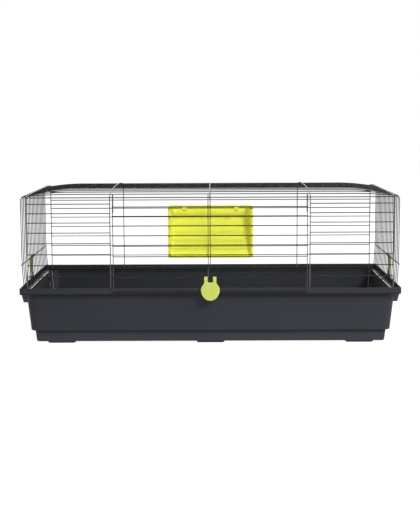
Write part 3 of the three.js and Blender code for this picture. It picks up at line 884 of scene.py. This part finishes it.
def end_path(y):
    """One upright of an end panel: bowed outwards, and bent over at its top."""
    upper = bezier(
        at(END_TOP_X, y, END_TOP),
        at(END_BOW_X, y, END_TOP),
        at(END_BOW_X, y, END_TOP - END_BEND),
        8,
    )
    lower = bezier(
        at(END_BOW_X, y, END_CURVE_TOP),
        at(END_BOW_X, y, END_BOW_PULL),
        at(END_FOOT_X, y, END_CURVE_FOOT),
        8,
    )
    return [*upper, *lower, at(END_FOOT_X, y, WIRE_FOOT)]


def x_on(path, height):
    """Where a path that comes down passes a height, in millimetres."""
    for above, below in zip(path, path[1:]):
        if above.z >= height * MM >= below.z:
            share = (above.z - height * MM) / (above.z - below.z)
            return above.lerp(below, share).x / MM
    return END_BOW_X


def end_panels(material):
    """The two end panels: bowed uprights on a top rail, a cross wire and a foot rail."""
    reach = MESH_WIRE + FRAME_WIRE - WELD
    touch = MESH_WIRE - WELD / 2
    half = (END_COUNT - 1) / 2 * END_PITCH
    cross_x = x_on(end_path(0), CROSS_HEIGHT)
    rails = (
        (END_TOP_X + FRAME_WIRE, END_TOP - reach, half + MESH_WIRE),
        (cross_x + reach, CROSS_HEIGHT, half + CROSS_WIRE_REACH + MESH_WIRE),
        (END_FOOT_X - reach, WIRE_FOOT + FRAME_WIRE, half + MESH_WIRE),
    )
    crossings = (
        (END_TOP_X + 1, END_TOP - touch, X_AXIS),
        (cross_x + touch, CROSS_HEIGHT, Z_AXIS),
        (END_FOOT_X - touch, WIRE_FOOT + FRAME_WIRE, Z_AXIS),
    )
    for name, side in (("left_end_panel", -1), ("right_end_panel", 1)):
        wires = []
        welds = bmesh.new()
        for i in range(END_COUNT):
            y = -half + i * END_PITCH
            path = [Vector((side * p.x, p.y, p.z)) for p in end_path(y)]
            wires.append((path, MESH_WIRE))
            for x, z, along in crossings:
                add_weld(welds, at(side * x, y, z), along, Y_AXIS, MESH_WIRE)
        for x, z, reach_y in rails:
            path = straight(at(side * x, -reach_y, z), at(side * x, reach_y, z), 4)
            wires.append((path, FRAME_WIRE))
        steel_piece(f"{name}_rods", wires, "cage", material, (name,))
        piece(f"{name}_welds", welds, "cage", material)


# ================= Door =================

DOOR_HOOKS = ("door_hook_left", "door_hook_centre", "door_hook_right")


def hooked_path(x):
    """A door upright's line, with its top hooked back over the hinge wire."""
    hinge_y = ARCH_HALF_DEPTH + 2 * FRAME_WIRE + GAP
    upright_y = DOOR_FRONT - 2 * MESH_WIRE + WELD
    radius = upright_y - hinge_y
    steps = 20
    foot = at(x, -upright_y, DOOR_HEIGHTS[0] - MESH_WIRE)
    points = straight(foot, at(x, -upright_y, HINGE_HEIGHT), 3)
    for i in range(1, steps + 1):
        angle = math.pi - math.pi * i / steps
        y = -hinge_y + radius * math.cos(angle)
        points.append(at(x, y, HINGE_HEIGHT + radius * math.sin(angle)))
    points.append(at(x, -hinge_y + radius, HINGE_HEIGHT - HOOK_RETURN))
    return points


def door(material, upright_material):
    """Nine cross wires on three hooked uprights."""
    uprights = (-DOOR_HALF_WIDTH, DOOR_CENTRE_X, DOOR_HALF_WIDTH)
    low, high = span_x("door")
    wires = []
    welds = bmesh.new()
    for z in DOOR_HEIGHTS:
        path = straight(at(low, -DOOR_FRONT, z), at(high, -DOOR_FRONT, z), 4)
        wires.append((path, MESH_ROD))
        for x in uprights:
            place = at(x, -DOOR_FRONT + MESH_WIRE - WELD / 2, z)
            add_weld(welds, place, X_AXIS, Z_AXIS, MESH_WIRE)
    hooked = [(hooked_path(x), MESH_WIRE) for x in uprights]
    steel_piece("door_uprights", hooked, "door", upright_material, DOOR_HOOKS)
    steel_piece("door_rods", wires, "door", material, ("door",))
    piece("door_welds", welds, "door", material)


# ================= Clips =================

# A clip is drawn about its pivot: x along the wire, y in towards the cage and z up.


def clip_outline(prong_top, tail):
    """Front outline of a clip: two prongs, a slot between them and a round body."""
    outer = SLOT_HALF + PRONG
    body_top = tail + CLIP_BODY
    widest = tail + CLIP_WIDEST
    right = [Vector((SLOT_HALF, prong_top)), Vector((outer, prong_top))]
    right += cubic(
        Vector((outer, body_top)),
        Vector((outer + CLIP_NECK_FLARE, body_top - CLIP_NECK_PULL)),
        Vector((CLIP_HALF, widest + CLIP_CHEEK_PULL)),
        Vector((CLIP_HALF, widest)),
        8,
    )
    right += cubic(
        Vector((CLIP_HALF, widest)),
        Vector((CLIP_HALF, widest - CLIP_CHIN_PULL)),
        Vector((CLIP_CHIN_HALF, tail)),
        Vector((0, tail)),
        14,
    )[1:]
    slot = [Vector((0, body_top))]
    slot += bezier(
        Vector((SLOT_HALF - CLIP_CORNER, body_top)),
        Vector((SLOT_HALF, body_top)),
        Vector((SLOT_HALF, body_top + CLIP_CORNER)),
        5,
    )
    half = slot + right
    mirrored = [Vector((-p.x, p.y)) for p in half[::-1]]
    return half + mirrored[1:-1]


def clip_plate(bm, outline, front, back, flare_top, tail, place):
    """A plate with a rounded rim and a lightly domed face, whose tail flares out for a thumb."""
    face_y = sum(depth for _, depth in CLIP_DOME) - front
    back_y = -back - sum(depth for _, depth in CLIP_BACK_ROUND)
    face_verts = [bm.verts.new((p.x, face_y, p.y)) for p in outline]
    back_verts = [bm.verts.new((p.x, back_y, p.y)) for p in outline]
    count = len(outline)
    for i in range(count):
        j = (i + 1) % count
        bm.faces.new((face_verts[i], face_verts[j], back_verts[j], back_verts[i]))
    front_face = bm.faces.new(face_verts)
    back_face = bm.faces.new(back_verts[::-1])
    bmesh.ops.recalc_face_normals(bm, faces=bm.faces)
    for thickness, depth in CLIP_DOME:
        bmesh.ops.inset_region(bm, faces=[front_face], thickness=thickness, depth=depth)
    for thickness, depth in CLIP_BACK_ROUND:
        bmesh.ops.inset_region(bm, faces=[back_face], thickness=thickness, depth=depth)
    for vert in bm.verts:
        share = max(0, (flare_top - vert.co.z) / (flare_top - tail))
        vert.co.y -= CLIP_FLARE * share**2
    for vert in bm.verts:
        vert.co = place(vert.co)


def prism(bm, section, start, end, place, edge=0.5):
    """A section in the side plane (y, z) made solid along x, with softened end edges."""
    middle_point = sum(section, Vector((0, 0))) / len(section)
    loops = []
    for x, inset in ((start, edge), (start + edge, 0), (end - edge, 0), (end, edge)):
        loop = []
        for p in section:
            towards = (middle_point - p).normalized() if inset else Vector((0, 0))
            q = p + towards * inset
            loop.append(place(Vector((x, q.x, q.y))))
        loops.append(loop)
    bridge(bm, loops)


def clip_head(pivot_radius, outer, back):
    """Side section of one prong's top: an open eye that runs down into the strap."""
    bore = pivot_radius + CLIP_CLEARANCE
    steps = 14
    section = []
    for i in range(steps + 1):
        angle = EYE_MOUTH + (EYE_CROWN - EYE_MOUTH) * i / steps
        section.append(Vector((CLIP_EYE * math.cos(angle), CLIP_EYE * math.sin(angle))))
    shoulder = Vector((-outer + 0.6, 0.5))
    plate_top = Vector((-outer + 0.7, -CLIP_PLATE_DROP))
    section += bezier(section[-1], shoulder, plate_top, 6)[1:]
    section.append(Vector((-outer + 0.9, -CLIP_HEAD_DROP)))
    section.append(Vector((-back - 0.4, -CLIP_HEAD_DROP)))
    section.append(Vector((-back, -CLIP_EYE - STRAP_DROP)))
    section.append(Vector((-bore / 2, -CLIP_EYE)))
    sweep = 2 * math.pi + EYE_THROAT - EYE_MOUTH
    for i in range(steps + 1):
        angle = EYE_THROAT - sweep * i / steps
        section.append(Vector((bore * math.cos(angle), bore * math.sin(angle))))
    return section


def clip(name, pivot_radius, strap, nib_top, nib_reach, tail, place, body, material, node):
    """A clip with two open eyes on a wire, and a nib that reaches in under the tray's rim."""
    outer = strap + CLIP_THICKNESS
    bm = bmesh.new()
    outline = clip_outline(-CLIP_PLATE_DROP, tail)
    clip_plate(bm, outline, outer, strap, nib_top - CLIP_FLARE_DROP, tail, place)
    head = clip_head(pivot_radius, outer, strap)
    for side in (-1, 1):
        ends = sorted((side * SLOT_HALF, side * (SLOT_HALF + PRONG)))
        prism(bm, head, ends[0], ends[1], place)
    nib = rounded(
        [
            (-strap - 1, nib_top, 0),
            (nib_reach, nib_top, 0.6),
            (nib_reach, nib_top - NIB_TIP, 0.6),
            (-strap - 1, nib_top - NIB_HEIGHT, 0),
        ]
    )
    prism(bm, nib, -NIB_HALF, NIB_HALF, place, edge=0.8)
    obj = piece(name, bm, body, material, (node,), sharp=50)
    even_normals(obj)


def front_latch(material):
    """The clip that hangs on the door's second wire."""
    low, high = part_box("front_latch")
    x = (low.x + high.x) / 2 / MM
    pivot_z = high.z / MM - CLIP_EYE
    under = FLANGE_UNDER - pivot_z

    def place(p):
        return at(x + p.x, -DOOR_FRONT + p.y, pivot_z + p.z)

    nib_top = under - NIB_CLEARANCE
    nib_reach = DOOR_FRONT - RIM_HALF_DEPTH + LATCH_NIB_REACH
    args = (MESH_WIRE, LATCH_STRAP, nib_top, nib_reach, under - CLIP_TAIL, place)
    clip("front_latch_clip", *args, "front_latch", material, "front_latch")


def end_clips(material):
    """The clips that hang on the end panels' cross wires."""
    for node, side in (("left_clip", -1), ("right_clip", 1)):
        low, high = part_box(node)
        pivot_z = high.z / MM - CLIP_EYE
        pivot_x = x_on(end_path(0), CROSS_HEIGHT) + MESH_WIRE + FRAME_WIRE - WELD
        y = ((low.y + high.y) / 2 - CENTRE_Y) / MM
        under = FLANGE_UNDER - CATCH_HEIGHT - pivot_z

        def place(p, side=side, pivot_x=pivot_x, y=y, pivot_z=pivot_z):
            return at(side * (pivot_x - p.y), y + side * p.x, pivot_z + p.z)

        strap = RIM_HALF_LENGTH + CATCH_REACH + END_CLIP_STANDOFF - pivot_x
        nib_top = under - NIB_CLEARANCE
        nib_reach = pivot_x - RIM_HALF_LENGTH - END_CLIP_NIB_GAP
        args = (FRAME_WIRE, strap, nib_top, nib_reach, under - CLIP_TAIL, place)
        clip(f"{node}_body", *args, node, material, node)


# ================= Hay rack =================

RACK_LOW, RACK_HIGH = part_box("hay_rack")
RACK_HALF = RACK_HIGH.x / MM
RACK_BOTTOM = RACK_LOW.z / MM
RACK_TOP = RACK_HIGH.z / MM
RACK_OUTER_Y = (RACK_HIGH.y - CENTRE_Y) / MM
RACK_MOUTH = ARCH_HALF_DEPTH + FRAME_WIRE + 2 * GAP
RACK_DEPTH = RACK_OUTER_Y - RACK_MOUTH
RACK_FOOT_DEPTH = 14
RACK_NARROWING = 0.09
RACK_TOP_FALL = 7
RACK_EDGE_DROP = 3
RACK_SKIN = 2.5
RACK_INSET = 5
RACK_ROUND = 9
RACK_FRAME_SIDE = 8
RACK_FRAME_TOP = 12
RACK_TOP_CORNER = 12
RACK_FOOT_CORNER = 6
RACK_MOUTH_CORNER = 5
RACK_FRONT_GAP = 0.6
RACK_HOOK_OFFSET = 92
RACK_HOOK_WIDTH = 14
HOOK_CLEARANCE = 0.6
HOOK_THICKNESS = 3
HOOK_LIP = 9
HOOK_FOOT = 14
RACK_HUNG_WIRE = "back_wire_6"


def rack_depth(height):
    """How deep the wedge is at a height."""
    rise = (height - RACK_BOTTOM) / (RACK_TOP - RACK_BOTTOM)
    return RACK_FOOT_DEPTH + (RACK_DEPTH - RACK_FOOT_DEPTH) * rise


def rack_point(x, back, height):
    """A point of the bin: x at its mouth, distance behind the mouth and height at the mouth."""
    depth = rack_depth(height)
    rise = (height - RACK_BOTTOM) / (RACK_TOP - RACK_BOTTOM)
    narrowed = 1 - RACK_NARROWING * back / RACK_DEPTH
    drop = RACK_TOP_FALL * rise * back / depth
    return at(x * narrowed, RACK_MOUTH + back, height - drop)


def rack_walls(bm):
    """The bin's side walls and leaning outer wall, as one bent sheet with round corners."""
    half = RACK_HALF - RACK_INSET
    levels = (
        (RACK_BOTTOM + RACK_INSET, 1.2),
        (RACK_BOTTOM + RACK_INSET + 1.2, 0),
        *((RACK_BOTTOM + (RACK_TOP - RACK_BOTTOM) * i / 8, 0) for i in range(1, 8)),
        (RACK_TOP - RACK_EDGE_DROP - 0.8, 0),
        (RACK_TOP - RACK_EDGE_DROP, 0.7),
    )
    loops = []
    for height, slim in levels:
        depth = rack_depth(height)
        turn = min(RACK_ROUND, depth * 0.6)
        inside = RACK_SKIN - slim
        outline = rounded(
            [
                (-half + slim, RACK_FRONT_GAP, 0),
                (-half + slim, depth - slim, turn),
                (half - slim, depth - slim, turn),
                (half - slim, RACK_FRONT_GAP, 0),
                (half - inside, RACK_FRONT_GAP, 0),
                (half - inside, depth - inside, turn - RACK_SKIN),
                (-half + inside, depth - inside, turn - RACK_SKIN),
                (-half + inside, RACK_FRONT_GAP, 0),
            ],
            steps=8,
            closed=True,
        )
        loops.append([rack_point(p.x, p.y, height) for p in outline])
    bridge(bm, loops)


def rack_floor(bm):
    """The bin's floor, which turns up a little where it meets the outer wall."""
    half = RACK_HALF - RACK_INSET - RACK_SKIN / 2
    low = RACK_BOTTOM + RACK_INSET
    section = rounded(
        [
            (RACK_FRONT_GAP, low, 0),
            (rack_depth(low) - 1, low, 2.4),
            (rack_depth(low) - 1, low + RACK_SKIN + 1, 0),
            (rack_depth(low) - RACK_SKIN, low + RACK_SKIN, 0),
            (RACK_FRONT_GAP, low + RACK_SKIN, 0),
        ]
    )
    bridge(bm, [[rack_point(x, p.x, p.y) for p in section] for x in (-half, 0, half)])


def rack_frame(bm):
    """The rounded frame round the bin's mouth."""

    def ring(grow, y):
        half = RACK_HALF + grow
        low = RACK_BOTTOM - grow
        high = RACK_TOP + grow
        outline = rounded(
            [
                (half, low, RACK_FOOT_CORNER),
                (half, high, RACK_TOP_CORNER),
                (-half, high, RACK_TOP_CORNER),
                (-half, low, RACK_FOOT_CORNER),
            ],
            closed=True,
        )
        return [at(p.x, y, p.y) for p in outline]

    def mouth_ring(grow, y):
        half = RACK_HALF - RACK_FRAME_SIDE - grow
        low = RACK_BOTTOM + RACK_FRAME_SIDE + grow
        high = RACK_TOP - RACK_FRAME_TOP - grow
        corners = ((half, low), (half, high), (-half, high), (-half, low))
        outline = rounded([(x, z, RACK_MOUTH_CORNER) for x, z in corners], closed=True)
        return [at(p.x, y, p.y) for p in outline]

    front = RACK_MOUTH
    back = RACK_MOUTH + RACK_SKIN
    rings = [
        ring(-0.9, front),
        ring(-0.25, front + 0.25),
        ring(0, front + 0.9),
        ring(0, back - 0.9),
        ring(-0.25, back - 0.25),
        ring(-0.9, back),
        mouth_ring(-0.6, back),
        mouth_ring(0, back - 0.6),
        mouth_ring(0, front + 0.6),
        mouth_ring(-0.6, front),
        ring(-0.9, front),
    ]
    bridge(bm, rings, close_ends=False)


def rack_hooks(bm):
    """Two hooks on the frame, over one of the back wires."""
    _, wire_y, wire_z = middle(RACK_HUNG_WIRE)
    reach = MESH_WIRE + HOOK_CLEARANCE
    seat = wire_z + reach
    outside = wire_y + reach
    inside = wire_y - reach
    section = rounded(
        [
            (RACK_MOUTH + 1, seat - HOOK_FOOT, 0),
            (RACK_MOUTH + 1, seat + HOOK_THICKNESS, 0),
            (inside - HOOK_THICKNESS, seat + HOOK_THICKNESS, 2.5),
            (inside - HOOK_THICKNESS, seat - HOOK_LIP, 1.2),
            (inside, seat - HOOK_LIP, 0.8),
            (inside, seat, 0.8),
            (outside, seat, 0.8),
            (outside, seat - HOOK_FOOT, 0),
        ],
        closed=True,
    )
    for side in (-1, 1):
        start = side * RACK_HOOK_OFFSET - RACK_HOOK_WIDTH / 2
        end = start + RACK_HOOK_WIDTH
        prism(bm, section, start, end, lambda p: at(p.x, p.y, p.z), edge=0.7)


def hay_rack(material):
    """The bin, its frame and its hooks as one moulding."""
    bm = bmesh.new()
    rack_walls(bm)
    rack_floor(bm)
    rack_frame(bm)
    rack_hooks(bm)
    bmesh.ops.remove_doubles(bm, verts=bm.verts, dist=0.000001)
    obj = piece("hay_rack_shell", bm, "hay_rack", material, ("hay_rack",))
    even_normals(obj)


# ================= Studio =================

WORLD_HORIZON = 0.6
WORLD_ZENITH = 0.08
FLOOR_GLOW = 0.94
FLOOR_BOUNCE = 0.55
FLOOR_COLOUR = (0.2, 0.2, 0.2, 1)
FLOOR_HALF = 30
AIM_HEIGHT = 0.25
LIGHTS = (
    ("top_softbox", (0, -0.6, 3.4), (3.0, 2.0), 12),
    ("back_softbox", (0, 4.2, 2.0), (5.0, 2.2), 75),
    ("key", (2.2, -3.2, 2.7), (1.2, 1.2), 170),
)

CAMERA_PLACE = (0.0098, -3.8780, 0.7180)
CAMERA_PITCH = math.radians(7.392)
CAMERA_YAW = 0.0029
CAMERA_ROLL = -0.0040
CAMERA_LENS = 79.77
CAMERA_SENSOR = 36


def world():
    """A world that is plain white to the camera, and as a light fades from horizon to zenith."""
    white_world = bpy.data.worlds.new("studio")
    bpy.context.scene.world = white_world
    white_world.use_nodes = True
    tree = white_world.node_tree
    background = tree.nodes["Background"]
    background.inputs["Color"].default_value = (1, 1, 1, 1)
    direction = tree.nodes.new("ShaderNodeTexCoord").outputs["Generated"]
    split = tree.nodes.new("ShaderNodeSeparateXYZ")
    tree.links.new(direction, split.inputs["Vector"])
    sky = tree.nodes.new("ShaderNodeMapRange")
    sky.inputs["To Min"].default_value = WORLD_HORIZON
    sky.inputs["To Max"].default_value = WORLD_ZENITH
    tree.links.new(split.outputs["Z"], sky.inputs["Value"])
    level = tree.nodes.new("ShaderNodeMapRange")
    level.inputs["To Max"].default_value = 1.0
    tree.links.new(sky.outputs["Result"], level.inputs["To Min"])
    path = tree.nodes.new("ShaderNodeLightPath")
    tree.links.new(path.outputs["Is Camera Ray"], level.inputs["Value"])
    tree.links.new(level.outputs["Result"], background.inputs["Strength"])


def floor_material():
    """A pale floor, which glows more strongly to the camera than as a light on the cage."""
    shader = Shader("pale_floor")
    shader.set(Roughness=0.9, Specular_IOR_Level=0.1)
    shader.main.inputs["Base Color"].default_value = FLOOR_COLOUR
    shader.main.inputs["Emission Color"].default_value = (1, 1, 1, 1)
    seen = shader.tree.nodes.new("ShaderNodeLightPath").outputs["Is Camera Ray"]
    glow = shader.span(seen, FLOOR_BOUNCE, FLOOR_GLOW, 0, 1)
    shader.link(glow, shader.main.inputs["Emission Strength"])
    return shader.material


def floor(material):
    """The ground the cage stands on."""
    bm = bmesh.new()
    bmesh.ops.create_grid(bm, x_segments=8, y_segments=8, size=FLOOR_HALF)
    mesh = bpy.data.meshes.new("floor")
    bm.to_mesh(mesh)
    bm.free()
    obj = bpy.data.objects.new("floor", mesh)
    bpy.context.scene.collection.objects.link(obj)
    mesh.materials.append(material)


def lights():
    """Area lights that aim at the middle of the cage and aren't seen themselves."""
    for name, place, size, power in LIGHTS:
        data = bpy.data.lights.new(name, "AREA")
        data.shape = "RECTANGLE"
        data.size = size[0]
        data.size_y = size[1]
        data.energy = power
        light = bpy.data.objects.new(name, data)
        light.location = place
        aim = Vector((0, 0, AIM_HEIGHT)) - Vector(place)
        light.rotation_mode = "QUATERNION"
        light.rotation_quaternion = aim.to_track_quat("-Z", "Y")
        light.visible_camera = False
        bpy.context.scene.collection.objects.link(light)


def camera():
    """The camera, in front of the cage and a little above it."""
    data = bpy.data.cameras.new("camera")
    data.sensor_width = CAMERA_SENSOR
    data.lens = CAMERA_LENS
    obj = bpy.data.objects.new("camera", data)
    tilt = Matrix.Rotation(math.pi / 2 - CAMERA_PITCH, 4, "X")
    turn = Matrix.Rotation(CAMERA_YAW, 4, "Z")
    roll = Matrix.Rotation(CAMERA_ROLL, 4, "Z")
    obj.matrix_world = Matrix.Translation(CAMERA_PLACE) @ turn @ tilt @ roll
    bpy.context.scene.collection.objects.link(obj)
    bpy.context.scene.camera = obj


def build():
    """Makes every material and every piece."""
    plastic = tray_plastic()
    bead_highlight = painted_highlight_plastic()
    # One dark wire coating in three greys: the arches' pale and the door uprights' grey are
    # painted light, so those wires read as lit against the dark tray.
    mesh_steel = wire_steel("dark_coated_wire", 0.012, 0.021, metallic=0.1, specular=0.2)
    lit_upright_steel = wire_steel("grey_lit_wire", 0.06, 0.1, metallic=0.3, specular=0.4)
    lit_frame_steel = wire_steel("pale_lit_wire", 0.12, 0.2, metallic=0.4, specular=0.5)
    clip_lime = lime_plastic("lime_clip", CLIP_LIME, CLIP_DEEP, (0.28, 0.4))
    # Painted shade: the end clips get a darker copy of the clips' lime.
    shaded_end_lime = lime_plastic("shaded_lime_clip", END_SHADED_LIME, END_SHADED_DEEP, (0.3, 0.42))
    # The rack's faint glow is painted light, an emission in place of light shining through its
    # walls.
    rack_lime = lime_plastic("lime_rack", RACK_LIME, RACK_DEEP, (0.3, 0.42), glow=0.1)
    tray_shell(plastic)
    grips(plastic)
    feet(plastic)
    back_lugs(plastic)
    # The pale beads paint highlight lines on the tray.
    corner_beads(bead_highlight)
    ledge_edges(bead_highlight)
    arches(lit_frame_steel)
    long_wires(mesh_steel)
    cage_welds(mesh_steel)
    end_panels(mesh_steel)
    door(mesh_steel, lit_upright_steel)
    front_latch(clip_lime)
    end_clips(shaded_end_lime)
    hay_rack(rack_lime)


build()
world()
floor(floor_material())
lights()
camera()
bpy.context.scene.view_settings.view_transform = "Standard"
